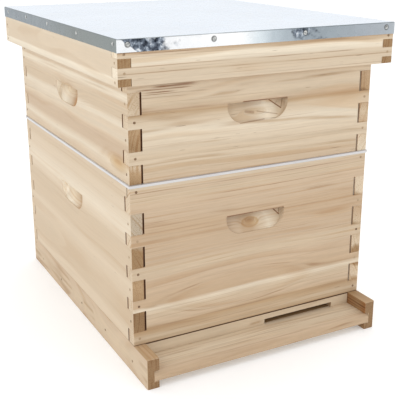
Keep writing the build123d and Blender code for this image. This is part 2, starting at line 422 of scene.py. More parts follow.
def wood(
    name, box, along, across, tones, seed, ends="honey", patches=(), knots=(), ring=None,
    wander=0.016, grime=None, scratches=(), seams="", checked=0.0, drawn=0.6,
):
    """Material of one solid board.

    tones and ends are the stops of the faces and of the sawn ends across the width. patches are
    (low, high, stops along the grain) boxes that show another layer of the wood, and some that hold
    painted light and painted shade. knots are (along, across, length, width, lift of the lines,
    darkness, darkness of the rim). ring is where the tree's heart lay, as (across, through) from
    the board's middle, give or take wander. grime is (level, width) of a painted shadow line on the
    sawn ends beside the board's inner face, where a joint's gap lies. scratches are straight dark
    lines on the outer half, marks on the wood and painted shade lines: (start, end, thickness,
    strength). All lengths are in metres. seams are a table of dark lines along the grain, the
    board's own, with one painted shadow line on the front rim. checked, 0 to 1, says how many short
    dark cracks there are, and drawn how strong the growth lines and figure are.
    """
    material, tree, point, facing = new_material(name)
    chance = random.Random(seed)
    at = board_place(tree, point, box, along, across)
    if ring is None:
        side = chance.uniform(-0.5, 0.5) * at.size[at.j]
        ring = (side, chance.choice((-1, 1)) * chance.uniform(0.10, 0.20))
    push, core = knot_fields(tree, at.along, at.across, knots)
    inputs = {
        "Along": at.along, "Across": at.across, "Through": at.through, "Push": push,
        "Ring_Across": at.middle[at.j] + ring[0], "Ring_Depth": at.middle[at.k] + ring[1],
        "Wander": wander, "Seed": float(seed),
    }
    figure = tree.node("ShaderNodeGroup", inputs, node_tree=FIGURE).outputs

    colour, covered = layers(tree, at, figure, tones, patches)
    colour = draw_lines(tree, at, figure, colour, core, drawn, seams)
    level, reach = grime or (at.middle[at.k], 0.0)
    from_inside = tree.apart(at.through, level)
    lines = scratch_and_shade_field(tree, at.along, at.across, scratches)
    lines = tree.product(lines, tree.step(from_inside, *SCRATCH_AND_SHADE_DEPTHS))
    colour = tree.darken(colour, lines, LINE_AND_SHADOW_BROWN)
    blotch = tree.noise(point, 11.0)
    strength = FIGURE_FLOOR + drawn
    swings = [tree.swing(figure[part], most * strength) for part, most in SWINGS.items()]
    face = tree.brightness(colour, tree.total(1.0, *swings, tree.swing(blotch, 0.07 * strength)))
    rarity = 0.86 - 0.16 * checked
    cracks = tree.step(figure["Checks"], rarity, rarity + 0.05)
    face = tree.mix(tree.product(cracks, 0.75), face, CHECK_BROWN)

    pores = tree.noise(point, 900.0, 2.0, 0.7)
    sawn = end_grain(tree, at, figure, pores, blotch, ends)
    is_end = tree.step(tree.math("ABSOLUTE", facing[at.i]), 0.6, 0.8)
    is_end = tree.product(is_end, tree.math("SUBTRACT", 1.0, covered))
    # Painted shadow of the joint's gap, on the sawn ends beside the inner face.
    if grime:
        sawn = tree.darken(sawn, tree.step(from_inside, reach * 1.15, reach * 0.8), GAP_SHADOW_BROWN)
    colour = tree.mix(is_end, face, sawn)

    roughness = tree.total(0.62, tree.swing(figure["Streak"], 0.22), tree.product(is_end, 0.18))
    relief = tree.total(
        tree.product(figure["Fibre"], 0.5),
        tree.product(figure["Streak"], 0.6),
        tree.product(figure["Lines"], -0.5),
        tree.product(cracks, -1.5),
        tree.product(pores, is_end, 1.2),
    )
    tree.surface(colour, roughness, tree.bump(relief, 0.25 * MM, 0.6))
    return material


# Tones of the boards, at percents of the width from the lower edge or from the front

FRONT_DEEP = (
    "0 honey, 5 sand, 10 honey, 13 rose, 20 sand, 23.5 pale, 25.5 tan, 40 rose, 47 sand, 52 rose, "
    "72 tan, 80 rose, 88 rose, 94 sand, 96 rose, 100 straw"
)
FRONT_SUPER = (
    "0 rose, 12 sand, 17 straw, 21 sand, 26 straw, 42 pale, 49 straw, 54 sand, 57.5 honey, "
    "61 rose, 64 sand, 69 straw, 79 straw, 83 rose, 100 tan"
)
# The left boards' paler tones are partly painted light, for the brighter light on the hive's left
# side.
LEFT_DEEP = (
    "7 straw, 10 sand, 21 sand, 40 straw, 45 sand, 62 sand, 66 straw, 74 pale, 85 straw, "
    "89 straw, 94 sand, 100 straw"
)
LEFT_SUPER = (
    "0 sand, 8 straw, 12 pale, 16 straw, 20 rose, 29 rose, 35 straw, 49 pale, 54 sand, 62 sand, "
    "67 straw, 73 cream, 77 straw, 100 sand"
)
FRONT_RIM = "28 straw, 36 sand, 42 straw, 52 straw, 57 pale, 75 cream, 82 straw, 90 tan, 100 honey"

# Seams: percent of the width, thickness, strength, from and to, with lengths in millimetres

DEEP_SEAMS = (
    "96.7 1.2 0.55 -200 206, 89.3 1.2 0.5 -60 206, 86 0.9 0.25 -206 60, 77.5 0.9 0.3 -180 -40, "
    "57.5 1 0.25 40 206, 44 0.9 0.3 -120 60, 36 0.9 0.25 -206 206, 21.5 1 0.3 -206 206, "
    "19 0.8 0.25 -206 206, 16.5 0.9 0.3 -206 206, 14 0.8 0.25 -100 206, 10.5 1.6 0.45 -206 206, "
    "6 1 0.4 -150 120, 3 0.9 0.3 -206 206"
)
SUPER_SEAMS = (
    "80 4.4 0.9 -165 -105, 77.6 1.8 0.9 -190 -115, 75.2 1.7 0.9 -180 -140, 73.6 1.4 0.8 -185 -90, "
    "71 1.2 0.5 -200 -120, 66.5 0.9 0.35 -150 20, 60 1.6 0.35 -200 60, 52 0.8 0.25 -206 60, "
    "43 0.9 0.25 -100 206, 36 0.8 0.2 -206 100, 31 0.9 0.25 -206 120, 25 0.8 0.2 -100 206, "
    "20 0.9 0.25 -206 206, 13 0.8 0.25 -206 206, 7 0.9 0.25 -206 206"
)
# The front rim's line at 93 percent is a painted shadow just below the metal sheet's edge.
RIM_SEAMS_AND_SHADOW = (
    "93 2.2 0.9 -228 -165, 87.5 1.1 0.7 -200 -110, 80 0.9 0.35 -228 -40, 74 0.8 0.25 -120 180, "
    "63 0.8 0.2 -228 0, 51.5 1.4 0.6 -228 150, 43 0.9 0.25 -228 100, 34.3 1.2 0.5 -228 228, "
    "26 0.9 0.2 -60 228, 16 1 0.25 -228 60, 7 1.2 0.4 -40 228"
)
LANDING_SEAMS = (
    "3.5 1.2 0.4 -190 190, 11 1.4 0.5 -190 -20, 17 1.1 0.35 -100 60, 20 1.2 0.45 0 150, "
    "28 1 0.3 -190 190"
)
RAIL_SEAMS = "93 1.6 0.6 -290 0, 82 2.6 0.9 -290 -190, 72 1.8 0.7 -290 60"

# Tones of more boards and of the sawn ends

# The left rim's paler tones are partly painted light too, as the left boards' are.
LEFT_RIM = "0 pale, 20 cream, 26 straw, 80 straw, 100 pale"
LEFT_DEEP_ENDS = "0 umber, 20 nut, 25 umber, 40 honey, 47 umber, 62 umber, 68 ash, 85 ash"
LEFT_SUPER_ENDS = (
    "0 umber, 9 honey, 14 sand, 30 umber, 42 honey, 47 honey, 60 straw, 64 sand, 75 sand, "
    "95 straw"
)
RIGHT_DEEP_ENDS = (
    "0 nut, 9 honey, 12 straw, 20 sand, 22 umber, 33 umber, 36 straw, 42 sand, 50 umber, 53 sand, "
    "62 tan, 71 umber, 74 straw, 84 straw"
)
RIGHT_SUPER_ENDS = (
    "0 pale, 15 straw, 28 umber, 29 tan, 38 sand, 46 tan, 58 nut, 60 honey, 75 tan, 100 umber"
)
LANDING = "0 tan, 4 rose, 7 straw, 20 pale, 30 straw, 50 sand"
RAIL = "0 rose, 30 sand, 60 sand, 100 rose"
REDUCER = "0 sand, 50 straw, 100 sand"

# Tones along the grain, in the handholds and on the bottom board's rails

# In the handholds the paler stops are partly painted light that lifts the recess's shade, and
# FAINT_HOLD's amber front end is a painted shadow.
GOLDEN_HOLD = "24 rose, 32 tan, 46 tan, 57 sand, 66 straw, 74 pale, 84 straw, 92 sand"
SOFT_HOLD = "40 sand, 50 straw, 60 pale, 72 cream, 84 pale, 92 sand"
FAINT_HOLD = "15 amber, 24 tan, 35 straw, 48 pale, 60 cream, 85 pale, 95 chalk"
LEFT_RAIL_TOP = "0 honey, 30 tan, 100 sand"
RIGHT_RAIL_TOP = "0 honey, 10 umber, 30 honey, 100 sand"
RIGHT_RAIL_INNER = "0 rust, 3 umber, 9 rust, 100 umber"


def plain_tones(seed, names=("straw", "sand", "pale", "rose")):
    """Tones of a board glued from strips: each strip is a stretch of one tone."""
    chance = random.Random(seed)
    stops, place, last = [], 0.0, None
    while place < 1.0:
        tone = chance.choice([name for name in names if name != last])
        after = min(1.0, place + chance.uniform(0.16, 0.34))
        stops += [f"{100 * place} {tone}", f"{100 * after - 1.2} {tone}"]
        place, last = after, tone
    return ", ".join(stops)


def set_material(node, material):
    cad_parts[node].material_slots[0].material = material


def board(node, along, across, seed, tones=None, **details):
    """Gives a CAD board its own wood."""
    tones = tones or plain_tones(seed)
    set_material(node, wood(node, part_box(node), along, across, tones, seed, **details))


HIVE_MIDDLE = (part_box("brood_front_board")[0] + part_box("brood_back_board")[1]) / 2
NOTCH = (21 * MM, 153 * MM)
HANDHOLD_REACH = 54 * MM
HANDHOLD_DROP = 67 * MM
HANDHOLD_HIGH = 32 * MM
HANDHOLD_DEPTHS = (0.3 * MM, 14 * MM)
SKIN = 0.5 * MM
SHADOW_LINE_HEIGHT = 0.9 * MM
DEEP_WANDER = 0.05
NEAR_HEART = {"ring": (0.01, -0.035), "wander": DEEP_WANDER}


def grime(node, axis, width):
    """The painted shadow line of a joint's gap, beside a board's inner face."""
    low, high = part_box(node)
    k = AXES.index(axis)
    inner = high[k] if (low[k] + high[k]) / 2 < HIVE_MIDDLE[k] else low[k]
    return inner, width * MM


def handhold(node, along, tones):
    """The box in which a board's handhold is cut, with its tones, which hold painted light and
    shade.
    """
    low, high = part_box(node)
    i = AXES.index(along)
    k = 1 - i
    lowest, highest = Vector(HIVE_MIDDLE), Vector(HIVE_MIDDLE)
    lowest[i] -= HANDHOLD_REACH
    highest[i] += HANDHOLD_REACH
    highest[2] = high[2] - HANDHOLD_DROP
    lowest[2] = highest[2] - HANDHOLD_HIGH
    shallow, deep = HANDHOLD_DEPTHS
    if (low[k] + high[k]) / 2 > HIVE_MIDDLE[k]:
        lowest[k], highest[k] = high[k] - deep, high[k] - shallow
    else:
        lowest[k], highest[k] = low[k] + shallow, low[k] + deep
    return lowest, highest, tones


def scratch(node, first, last, thick, strength):
    """A dark line on a front board, between two (from the middle, below the top) places in mm: a
    mark on the wood, and in some uses a painted shade line.
    """
    middle, top = HIVE_MIDDLE[0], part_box(node)[1].z
    start, end = [(middle + x * MM, top - down * MM) for x, down in (first, last)]
    return start, end, thick * MM, strength


def brow(node, first, last, strength):
    """The thin brown line along a handhold's top edge."""
    return scratch(node, (first, 67.4), (last, 67.4), 1.9, strength)


def end_wall_shade_lines(node, left, right, deep):
    """Painted shade lines in a V, outlining the end wall at a handhold's right end."""
    upper_left, upper_right = (left, 69), (right, 69)
    lowest = (left + 0.78 * (right - left), 68 + deep)
    return (
        scratch(node, upper_left, lowest, 1.6, 1.0),
        scratch(node, lowest, upper_right, 1.4, 0.6),
        scratch(node, upper_right, (right - 8, 69), 3, 0.9),
    )


def skin(node, axis, side, tones):
    """The outermost layer of one face of a board, with its own tones."""
    low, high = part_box(node)
    k = AXES.index(axis)
    lowest, highest = Vector(low), Vector(high)
    if side > 0:
        lowest[k], highest[k] = high[k] - SKIN, high[k] + MM
    else:
        lowest[k], highest[k] = low[k] - MM, low[k] + SKIN
    return lowest, highest, tones


def strip(node, at_foot):
    """A painted shadow line along the foot or else the top of a board, where it meets the next
    part.
    """
    low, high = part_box(node)
    lowest, highest = low - Vector((MM, MM, MM)), high + Vector((MM, MM, MM))
    if at_foot:
        highest[2] = low[2] + SHADOW_LINE_HEIGHT
    else:
        lowest[2] = high[2] - SHADOW_LINE_HEIGHT
    return lowest, highest, "crevice"


def knot(node, along, from_middle, height, length, width, lift, dark, rim=0.0):
    """A knot so many millimetres from the hive's middle and at a share of the board's height."""
    low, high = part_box(node)
    middle = HIVE_MIDDLE[AXES.index(along)]
    at_height = low[2] + height * (high[2] - low[2])
    return middle + from_middle * MM, at_height, length * MM, width * MM, lift * MM, dark, rim


def box_board(node, along, seed, tones, hold, ends, gap_shadow_width, knots, patches=(), **details):
    """A box's board, with its handhold, its knots and the painted gap shadow beside its inner face.
    """
    details["knots"] = [knot(node, along, *given) for given in knots]
    details["patches"] = [handhold(node, along, hold), *patches]
    details["grime"] = grime(node, "Y" if along == "X" else "X", gap_shadow_width)
    board(node, along, "Z", seed, tones, ends=ends, **details)


def dress_boxes():
    """Both boxes' boards. The front and left ones follow the lines seen in the photograph."""
    node = "brood_front_board"
    box_board(
        node, "X", 3, FRONT_DEEP, GOLDEN_HOLD, "straw", 2.4,
        knots=((-6.5, 0.652, 15, 7.5, 12, 0.6, 0.5), (150, 0.62, 55, 7, 3, 0.2)),
        # A painted shadow line along the box's foot, where it stands on the reducer.
        patches=[strip(node, True)],
        seams=DEEP_SEAMS,
        scratches=(brow(node, -50, -5, 0.9), brow(node, -5, 50, 0.6), *end_wall_shade_lines(node, 35, 50, 13)),
    )
    node = "super_front_board"
    box_board(
        node, "X", 17, FRONT_SUPER, SOFT_HOLD, "straw", 2.4,
        knots=((2, 0.50, 24, 6, 12, 0.25), (26, 0.575, 14, 5, 10, 0.2)),
        checked=0.25,
        seams=SUPER_SEAMS,
        scratches=(
            brow(node, -25, 15, 0.9),
            brow(node, 10, 50, 0.6),
            *end_wall_shade_lines(node, 23, 50, 16),
            scratch(node, (-17, 84), (-5, 86), 4.0, 0.4),
            scratch(node, (2, 85), (36, 92), 1.3, 0.5),
            scratch(node, (-30, 99), (12, 97), 1.5, 0.5),
        ),
    )
    box_board(
        "brood_left_board", "Y", 4, LEFT_DEEP, FAINT_HOLD, LEFT_DEEP_ENDS, 1.3,
        knots=((-10, 0.66, 50, 14, 10, 0.3),),
        drawn=0.1,
    )
    box_board(
        "super_left_board", "Y", 18, LEFT_SUPER, FAINT_HOLD, LEFT_SUPER_ENDS, 1.3,
        knots=((-5, 0.55, 50, 12, 10, 0.3), (-214, 0.14, 44, 15, 5, 0.7)),
        drawn=0.3,
    )
    right_knots = ((90, 0.40, 40, 14, 18, 0.8), (-120, 0.75, 60, 12, 8, 0.3))
    back_knots = ((-70, 0.35, 46, 13, 16, 0.8),)
    for seed, box, ends in ((5, "brood", RIGHT_DEEP_ENDS), (19, "super", RIGHT_SUPER_ENDS)):
        box_board(f"{box}_right_board", "Y", seed, None, SOFT_HOLD, ends, 1.3, right_knots)
        box_board(f"{box}_back_board", "X", seed + 1, None, SOFT_HOLD, "straw", 2, back_knots)


def dress_bottom():
    """The bottom board, with painted shade behind the notch, and the entrance reducer."""
    low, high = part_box("entrance_reducer")
    # Painted shade on the landing board, under the notch and behind it.
    near = Vector((NOTCH[0], low.y + 5 * MM, 0.0))
    far = Vector((NOTCH[1], high.y + 20 * MM, low.z + MM))
    landing_and_entrance_shade = {"patches": [(near, far, "umber")], "seams": LANDING_SEAMS, **NEAR_HEART}
    board("floor_board_1", "X", "Y", 31, LANDING, **landing_and_entrance_shade)
    for number in range(2, 5):
        tones = plain_tones(30 + number, ("straw", "sand", "rose"))
        board(f"floor_board_{number}", "X", "Y", 30 + number, tones, **NEAR_HEART)
    rail = {"ends": "nut", "wander": DEEP_WANDER}
    node = "bottom_left_rail"
    board(node, "Y", "Z", 41, RAIL, patches=[skin(node, "Z", 1, LEFT_RAIL_TOP)], **rail)
    node = "bottom_right_rail"
    patches = [skin(node, "X", -1, RIGHT_RAIL_INNER), skin(node, "Z", 1, RIGHT_RAIL_TOP)]
    board(node, "Y", "Z", 42, RAIL, patches=patches, seams=RAIL_SEAMS, **rail)
    board("bottom_back_cleat", "X", "Z", 44)
    node = "entrance_reducer"
    # A painted shadow line along the reducer's top, under the box.
    board(node, "X", "Z", 45, REDUCER, ends="tan", patches=[strip(node, False)])


def dress_covers():
    """The outer cover's rim and panel, and the inner cover."""
    board("cover_front_rim", "X", "Z", 51, FRONT_RIM, ends="cream", checked=0.3, seams=RIM_SEAMS_AND_SHADOW)
    board("cover_back_rim", "X", "Z", 52, ends="pale")
    board("cover_left_rim", "Y", "Z", 53, LEFT_RIM, ends="umber", drawn=0.2)
    board("cover_right_rim", "Y", "Z", 54, ends="umber")
    board("cover_panel", "X", "Y", 55)
    board("inner_cover_panel", "Y", "X", 56)
    for n, side in enumerate(("front", "back", "left", "right")):
        board(f"inner_cover_{side}_rail", "XXYY"[n], "Z", 57 + n)


EASE = 0.5 * MM


def ease_edges(thing):
    """Breaks a board's sharp edges as sanding does, without touching its mesh."""
    weld = thing.modifiers.new("weld", "WELD")
    weld.merge_threshold = 0.002 * MM
    flat = thing.modifiers.new("flat", "DECIMATE")
    flat.decimate_type = "DISSOLVE"
    flat.angle_limit = math.radians(1)
    bevel = thing.modifiers.new("eased", "BEVEL")
    bevel.width = EASE
    bevel.segments = 2
    bevel.limit_method = "ANGLE"
    bevel.angle_limit = math.radians(40)


# Metal, plastic and wax


def steel_material():
    """Round wire nails: dull brown steel, rusted, and some half hidden under wood dust and dried
    adhesive.
    """
    material, tree, point, _ = new_material("nail_steel")
    patch = tree.noise(point, 420.0, 3.0)
    rust = [(0.35, 92, 66, 44), (0.52, 128, 98, 70), (0.7, 150, 132, 110)]
    dusty = tree.step(tree.noise(point, 23.0, 0.0), 0.44, 0.54)
    colour = tree.mix(tree.product(dusty, 0.75), tree.ramp(patch, rust), srgb(190, 165, 134))
    roughness = tree.math("MULTIPLY_ADD", patch, -0.4, 0.8)
    tree.surface(colour, roughness, tree.bump(patch, 0.15 * MM), Metallic=0.3)
    return material


def plastic_material():
    """Moulded white plastic with the mould's fine texture, its top edge in the box's shadow."""
    material, tree, point, facing = new_material("excluder_plastic")
    cloud = tree.noise(point, 14.0, 3.0)
    grit = tree.noise(point, 1600.0)
    colour = tree.ramp(cloud, [(0.35, 202, 200, 200), (0.65, 212, 210, 209)])
    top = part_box("queen_excluder")[1].z
    height = tree.parts(point)[2]
    level = tree.math("ABSOLUTE", facing[2])
    near_top = tree.step(height, top - 1.1 * MM, top - 0.5 * MM)
    shade = tree.product(near_top, tree.step(level, 0.8, 0.4))
    colour = tree.mix(shade, colour, srgb(150, 138, 134))
    roughness = tree.math("MULTIPLY_ADD", cloud, 0.25, 0.25)
    tree.surface(colour, roughness, tree.bump(grit, 0.05 * MM, 0.5))
    return material


CELL_PITCH = 5.4 * MM


def wax_material():
    """Pressed beeswax foundation, embossed with the pattern of cells that the bees build on."""
    material, tree, point, _ = new_material("foundation_wax")
    place = tree.parts(point)
    cloud = tree.noise(point, 16.0, 3.0)
    wave = 4 * math.pi / math.sqrt(3) / CELL_PITCH
    cells = 0.0
    for turn in (0, 60, 120):
        share_y, share_z = math.cos(math.radians(turn)) * wave, math.sin(math.radians(turn)) * wave
        phase = tree.math("MULTIPLY_ADD", place[1], share_y, tree.product(place[2], share_z))
        cells = tree.total(cells, tree.math("COSINE", phase))
    walls = tree.step(cells, 0.3, -1.2)
    colour = tree.ramp(cloud, [(0.3, 214, 168, 84), (0.7, 232, 196, 120)])
    colour = tree.mix(tree.product(walls, 0.4), colour, srgb(246, 226, 172))
    roughness = tree.math("MULTIPLY_ADD", cloud, 0.2, 0.35)
    normal = tree.bump(tree.total(walls, tree.product(cloud, 0.3)), 0.5 * MM, 0.8)
    wax = {"Subsurface Weight": 0.12, "Subsurface Scale": 0.003}
    tree.surface(colour, roughness, normal, **wax)
    return material


# The sheet's colours by face are painted reflections: light on top, dark on the side flanges.
ZINC_TOP_REFLECTION = [(0.3, 224, 233, 244), (0.7, 231, 239, 249)]
ZINC_FRONT_REFLECTIONS = [
    (0, 236, 238, 240), (0.4, 250, 250, 250), (0.46, 222, 230, 234), (0.52, 186, 196, 202),
    (0.64, 150, 159, 166), (0.75, 156, 165, 171), (0.9, 168, 174, 180), (1, 176, 182, 187),
]
ZINC_SIDES_REFLECTION = [
    (0, 126, 133, 131), (0.3, 118, 124, 122), (0.6, 122, 131, 136), (1, 116, 127, 136),
]
ZINC_DARK_REFLECTIONS = [
    (0.36, 30, 34, 42), (0.5, 92, 100, 112), (0.6, 150, 160, 172), (0.7, 226, 230, 234),
]
# Where along the front flange its painted dark reflections fall: not at all where black.
DARK_REFLECTION_PLACES = [
    (0.025, 0, 0, 0), (0.045, 225, 225, 225), (0.1, 225, 225, 225), (0.14, 185, 185, 185),
    (0.24, 0, 0, 0), (0.55, 0, 0, 0), (0.6, 168, 168, 168), (0.69, 168, 168, 168), (0.74, 0, 0, 0),
]
ZINC_FOLD_DARK_REFLECTION = srgb(126, 134, 138)
NAIL_SHADE = srgb(120, 118, 116)


def front_flange(tree, place, facing, warped, leaf, low, high):
    """The front and back flanges' painted reflections: a white highlight at their left end, then
    darker grey, and dark reflections in two places.
    """
    middle = (low + high) / 2
    along = tree.math("SUBTRACT", tree.share(place[0], low[0], high[0]), 0.5)
    run = tree.math("MULTIPLY_ADD", along, tree.product(facing[1], -1.0), 0.5)
    flange_reflections = tree.ramp(run, ZINC_FRONT_REFLECTIONS)
    raised = tree.math("MULTIPLY_ADD", place[2], 3.0, -3.0 * middle[2])
    dark_reflection_reach = tree.ramp(tree.total(run, raised), DARK_REFLECTION_PLACES)
    dark_reflections = tree.ramp(tree.noise(warped, 120.0, 3.0, 0.6), ZINC_DARK_REFLECTIONS)
    return tree.mix(tree.step(tree.total(leaf, dark_reflection_reach), 0.78, 1.06), flange_reflections, dark_reflections)


def nail_shade_rings(tree, point, facing):
    """1 on the front and back flanges just round their nails, where painted shade darkens the
    sheet.
    """
    nearest = 1.0
    for centre, _ in sheet_nails():
        distance = tree.filled("ShaderNodeVectorMath", point, centre, operation="DISTANCE")["Value"]
        nearest = tree.math("MINIMUM", nearest, distance)
    near = tree.step(nearest, 5.2 * MM, 3.2 * MM)
    return tree.product(near, tree.math("ABSOLUTE", facing[1]))


def zinc_material():
    """Galvanized sheet: spangled zinc, with painted reflections: near white on top, dull and
    blotched on the flanges.
    """
    material, tree, point, facing = new_material("galvanized_sheet")
    low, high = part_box("cover_sheet")
    place = tree.parts(point)
    stir = tree.noise(point, 130.0, output="Color")
    inputs = (stir, (0.006, 0.006, 0.006), point)
    warped = tree.filled("ShaderNodeVectorMath", *inputs, operation="MULTIPLY_ADD")[0]
    crystals = tree.node("ShaderNodeTexVoronoi", {"Vector": warped, "Scale": 110.0}).outputs
    spangle = tree.parts(crystals["Color"])[0]
    leaf = tree.noise(warped, 55.0, 3.0, 0.6)
    cloud = tree.noise(point, 9.0, 3.0)

    # Painted reflections: on the front and back flanges, on the side flanges and on the top.
    front = front_flange(tree, place, facing, warped, leaf, low, high)
    along_y = tree.share(place[1], low[1], high[1])
    sides = tree.ramp(tree.total(along_y, tree.swing(leaf, 0.25)), ZINC_SIDES_REFLECTION)
    colour = tree.mix(tree.step(tree.math("ABSOLUTE", facing[0]), 0.4, 0.6), front, sides)
    # Painted shade round the nail heads.
    colour = tree.darken(colour, nail_shade_rings(tree, point, facing), NAIL_SHADE)
    level = tree.step(facing[2], 0.82, 0.97)
    # A painted dark reflection along the fold between the top and the flanges.
    fold = tree.product(tree.step(facing[2], 0.12, 0.3), tree.step(facing[2], 0.98, 0.9))
    colour = tree.mix(level, colour, tree.ramp(cloud, ZINC_TOP_REFLECTION))
    colour = tree.mix(tree.product(fold, 0.75), colour, ZINC_FOLD_DARK_REFLECTION)
    mottle = tree.total(tree.swing(spangle, 0.07), tree.swing(leaf, 0.07))
    calm = tree.math("MULTIPLY_ADD", level, -0.6, 1.0)
    colour = tree.brightness(colour, tree.total(1.0, tree.product(mottle, calm)))
    roughness = tree.total(0.26, tree.swing(spangle, 0.10), tree.swing(cloud, 0.10))
    normal = tree.bump(tree.total(cloud, tree.product(leaf, calm, 0.2)), 0.6 * MM, 0.5)
    tree.surface(colour, roughness, normal, Metallic=1.0)
    return material


def head_material():
    """Zinc-coated nail heads, brighter than the sheet, dark where the hammer bruised them."""
    material, tree, point, _ = new_material("nail_zinc")
    patch = tree.noise(point, 300.0, 3.0)
    bruised = [(0.35, 128, 128, 128), (0.5, 176, 178, 176), (0.66, 230, 230, 228)]
    roughness = tree.math("MULTIPLY_ADD", patch, 0.3, 0.2)
    bump = tree.bump(patch, 0.2 * MM, 0.6)
    tree.surface(tree.ramp(patch, bruised), roughness, bump, Metallic=0.9)
    return material


# Pieces built here


def new_object(name, data):
    thing = bpy.data.objects.new(name, data)
    bpy.context.scene.collection.objects.link(thing)
    return thing


def new_piece(name, material, body, slot_name, replaced, fill, *given):
    """Fills a mesh, puts it on its body and hides the CAD parts that it stands for."""
    shape = bmesh.new()
    fill(shape, *given)
    bmesh.ops.recalc_face_normals(shape, faces=shape.faces)
    mesh = bpy.data.meshes.new(name)
    shape.to_mesh(mesh)
    shape.free()
    mesh.materials.append(material)
    thing = new_object(name, mesh)
    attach(thing, body)
    if replaced:
        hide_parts(*replaced)
    return thing


def smooth(thing, angle=32):
    thing.data.shade_smooth()
    thing.data.set_sharp_from_angle(angle=math.radians(angle))


def solids(node):
    """A CAD node's separate solids, as points and faces: each closes before the next begins."""
    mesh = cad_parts[node].data
    found, faces, number, open_edges = [], [], {}, set()
    for polygon in mesh.polygons:
        corners = [mesh.vertices[n].co.to_tuple(6) for n in polygon.vertices]
        faces.append([number.setdefault(corner, len(number)) for corner in corners])
        for edge in zip(corners, corners[1:] + corners[:1]):
            open_edges ^= {frozenset(edge)}
        if not open_edges:
            found.append((list(number), faces))
            faces, number = [], {}
    return found


def extent(points):
    """Least and greatest corner of some points."""
    return [Vector([pick(p[k] for p in points) for k in range(3)]) for pick in (min, max)]


def fill_solids(shape, parts):
    """Copies solids of a CAD node."""
    for points, faces in parts:
        corners = [shape.verts.new(p) for p in points]
        for face in faces:
            shape.faces.new([corners[n] for n in face])


def fill_grid(shape, grid, columns, rows):
    """Faces between the corners of a grid."""
    for a in range(columns):
        for b in range(rows):
            shape.faces.new((grid[a, b], grid[a + 1, b], grid[a + 1, b + 1], grid[a, b + 1]))


def join_rings(shape, first, second):
    for n in range(len(first)):
        after = (n + 1) % len(first)
        shape.faces.new((first[n], first[after], second[after], second[n]))


def sheet_nails():
    """(point on the sheet's skin, direction out of it) of each nail of the metal flange."""
    low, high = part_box("cover_sheet")
    middle = (low + high) / 2
    found = []
    for points, _ in solids("cover_sheet_nails"):
        least, most = extent(points)
        centre, size = (least + most) / 2, most - least
        k = max(range(2), key=lambda n: size[n])
        out = Vector()
        out[k] = 1.0 if centre[k] > middle[k] else -1.0
        centre[k] = high[k] if out[k] > 0 else low[k]
        found.append((centre, out))
    return found


SHEET_THICK = 0.6 * MM
FOLD_RADIUS = 1.6 * MM
FOLD_ROWS = 4
FLANGE_ROWS = 9
HEM_DROP = 0.2 * MM
HEM_INSET = 0.25 * MM
SHEET_PITCH = 4 * MM
DIMPLE_DEPTH = 0.32 * MM
DIMPLE_RADIUS = 6.5 * MM
FLANGE_WAVE = 0.07 * MM
WAVE_DEPTH = 0.35 * MM
WAVE_EASE = 12


def dent(point, nails):
    """How far the flange's skin is pressed in at a point."""
    pressed = FLANGE_WAVE * (1 + noise.noise(point * 22))
    for centre, _ in nails:
        distance = (point - centre).length
        if distance < 3 * DIMPLE_RADIUS:
            pressed += DIMPLE_DEPTH * math.exp(-((distance / DIMPLE_RADIUS) ** 2))
    return pressed


def sheet_outline(across, back):
    """Round the sheet once: (share of X, share of Y, inward direction)."""
    points = [(n / across, 0.0, Vector((0, 1, 0))) for n in range(across)]
    points += [(1.0, n / back, Vector((-1, 0, 0))) for n in range(back)]
    points += [(1 - n / across, 1.0, Vector((0, -1, 0))) for n in range(across)]
    points += [(0.0, 1 - n / back, Vector((1, 0, 0))) for n in range(back)]
    return points


def sheet_rows(low, high):
    """From the top's edge over the fold, down and up the flange: (inset, height, uneven or not)."""
    rows = []
    for n in range(FOLD_ROWS + 1):
        turn = math.radians(90 * n / FOLD_ROWS)
        drop = FOLD_RADIUS * (1 - math.cos(turn))
        rows.append((FOLD_RADIUS * (1 - math.sin(turn)), high.z - drop, n == FOLD_ROWS))
    span = high.z - FOLD_RADIUS - low.z - HEM_DROP
    for n in range(1, FLANGE_ROWS + 1):
        rows.append((0.0, high.z - FOLD_RADIUS - span * n / FLANGE_ROWS, True))
    rows.append((HEM_INSET, low.z, False))
    rows.append((SHEET_THICK, low.z + HEM_DROP / 2, False))
    rows.append((SHEET_THICK, high.z - SHEET_THICK, False))
    return rows


def fill_sheet(shape, low, high, nails):
    """The folded sheet: a faintly uneven top, a rounded fold, flanges pressed in at their nails."""
    size = high - low
    across, back = round(size.x / SHEET_PITCH), round(size.y / SHEET_PITCH)
    outline = sheet_outline(across, back)

    def ring(inset, height, uneven):
        made = []
        for share_x, share_y, inward in outline:
            x = low.x + inset + share_x * (size.x - 2 * inset)
            y = low.y + inset + share_y * (size.y - 2 * inset)
            point = Vector((x, y, height))
            corner = share_x in (0.0, 1.0) and share_y in (0.0, 1.0)
            if uneven and not corner:
                point += inward * dent(point, nails)
            made.append(shape.verts.new(point))
        return made

    rings = [ring(*row) for row in sheet_rows(low, high)]
    for first, second in zip(rings, rings[1:]):
        join_rings(shape, first, second)
    shape.faces.new(rings[-1])

    grid = {}
    for n, (share_x, share_y, _) in enumerate(outline):
        grid[round(share_x * across), round(share_y * back)] = rings[0][n]
    inner = size - Vector((FOLD_RADIUS, FOLD_RADIUS, 0)) * 2
    for a in range(1, across):
        for b in range(1, back):
            x = low.x + FOLD_RADIUS + inner.x * a / across
            y = low.y + FOLD_RADIUS + inner.y * b / back
            edge = min(a, across - a, b, back - b) / WAVE_EASE
            wave = 0.5 + 0.5 * noise.noise(Vector((x * 7, y * 7, 0.3)))
            drop = WAVE_DEPTH * wave * min(1.0, edge)
            grid[a, b] = shape.verts.new((x, y, high.z - drop))
    fill_grid(shape, grid, across, back)


HEAD_RADIUS = 3.2 * MM
HEAD_HEIGHT = 0.6 * MM
HEAD_SINK = 0.1 * MM
HEAD_SIDES = 18
